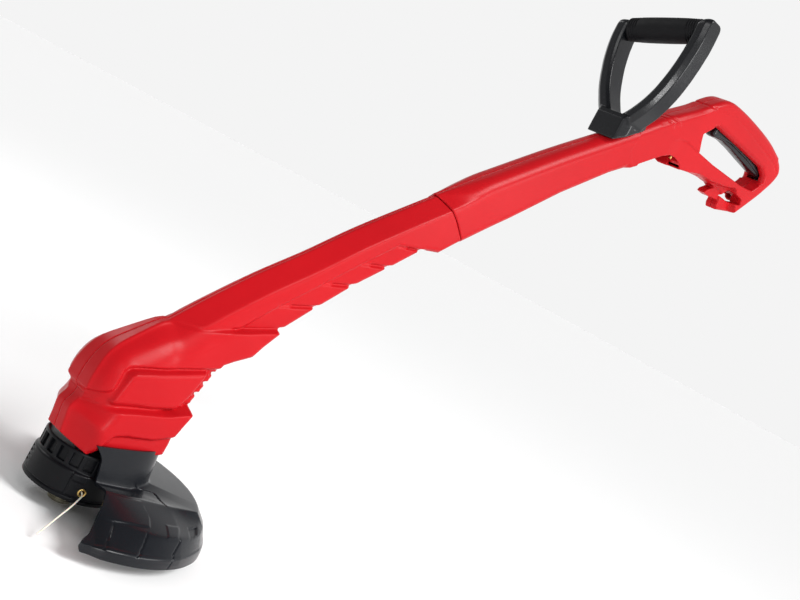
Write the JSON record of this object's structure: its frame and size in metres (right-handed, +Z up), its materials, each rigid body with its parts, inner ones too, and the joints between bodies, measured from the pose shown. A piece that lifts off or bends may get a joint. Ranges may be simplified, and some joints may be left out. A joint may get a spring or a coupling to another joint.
{
  "type": "string trimmer",
  "caption": "Corded string trimmer: curved shaft, loop front handle, closed rear handle with a trigger lever, guarded line head with a bump knob.",
  "frame": {"origin": "centre of the bump knob's ground face, on the axis of the cutting head", "axes": "+Z up along the cutting head's axis, +X from the head towards the rear handle, -Y the left side"},
  "size_m": [0.8965, 0.26, 0.7341],
  "materials": {
    "red_shell": "satin",
    "black_plastic": "satin",
    "grip_rubber": "matte",
    "grey_plastic": "matte",
    "steel": "brushed",
    "knob_metal": "dull zinc",
    "laminations": "stacked sheet",
    "copper": "enamelled wire",
    "brass_trim": "satin",
    "brush_resin": "matte",
    "carbon": "matte",
    "nylon_line": "satin",
    "red_button": "satin",
    "capacitor_case": "satin",
    "wire_sleeve": "matte"
  },
  "bodies": {
    "housing": {"lower_housing_left": "red_shell", "lower_housing_right": "red_shell", "upper_housing_left": "red_shell", "upper_housing_right": "red_shell", "joint_sleeve": "grey_plastic", "housing_screws": "steel", "field_core": "laminations", "field_windings": "copper", "upper_bearing": "steel", "lower_bearing": "steel", "upper_bracket": "grey_plastic", "bearing_plate": "grey_plastic", "brush_holders": "brush_resin", "carbon_brushes": "carbon", "brush_springs": "steel", "guard": "black_plastic", "guard_screws": "steel", "line_cutter": "steel", "cutter_screws": "steel", "front_handle_frame": "black_plastic", "front_grip_sleeve": "grip_rubber", "handle_bolt": "steel", "handle_nut": "steel", "switch_body": "black_plastic", "trigger_pin": "steel", "inlet_insert": "black_plastic", "inlet_pins": "brass_trim", "suppressor_capacitor": "capacitor_case", "wiring_loom": "wire_sleeve", "trigger_spring": "steel"},
    "cutting_head": {"armature_shaft": "steel", "armature_core": "laminations", "armature_windings": "copper", "commutator": "copper", "cooling_fan": "grey_plastic", "spool_housing": "black_plastic", "head_cap": "black_plastic", "line_eyelet": "brass_trim", "cutting_line": "nylon_line", "knob_spring": "steel"},
    "bump_knob": {"bump_knob": "knob_metal"},
    "line_spool": {"line_spool": "grey_plastic", "wound_line": "nylon_line"},
    "trigger": {"trigger_lever": "black_plastic"},
    "switch_plunger": {"switch_plunger": "red_button"}
  },
  "joints": [
    {"name": "head_spin", "type": "hinge", "parent": "housing", "child": "cutting_head", "pos_m": [0, 0, 0.12], "axis": [0, 0, 1], "continuous": true},
    {"name": "knob_press", "type": "slide", "parent": "cutting_head", "child": "bump_knob", "axis": [0, 0, 1], "range_m": [0, 0.004], "stiffness_N_per_m": 1500, "springref_m": -0.004, "deforming": ["knob_spring"]},
    {"name": "line_feed", "type": "hinge", "parent": "bump_knob", "child": "line_spool", "pos_m": [0, 0, 0.036], "axis": [0, 0, 1], "continuous": true},
    {"name": "trigger_pull", "type": "hinge", "parent": "housing", "child": "trigger", "pos_m": [0.798, 0, 0.657], "axis": [0, 1, 0], "range_deg": [0, 2.5], "stiffness_Nm_per_rad": 8, "springref_deg": -2.86, "deforming": ["trigger_spring"]},
    {"name": "plunger_slide", "type": "slide", "parent": "housing", "child": "switch_plunger", "axis": [0, 0, 1], "range_m": [0, 0.0056]}
  ],
  "couplings": [
    {"joint": "plunger_slide", "follows": "trigger_pull", "m_per_rad": 0.128}
  ]
}
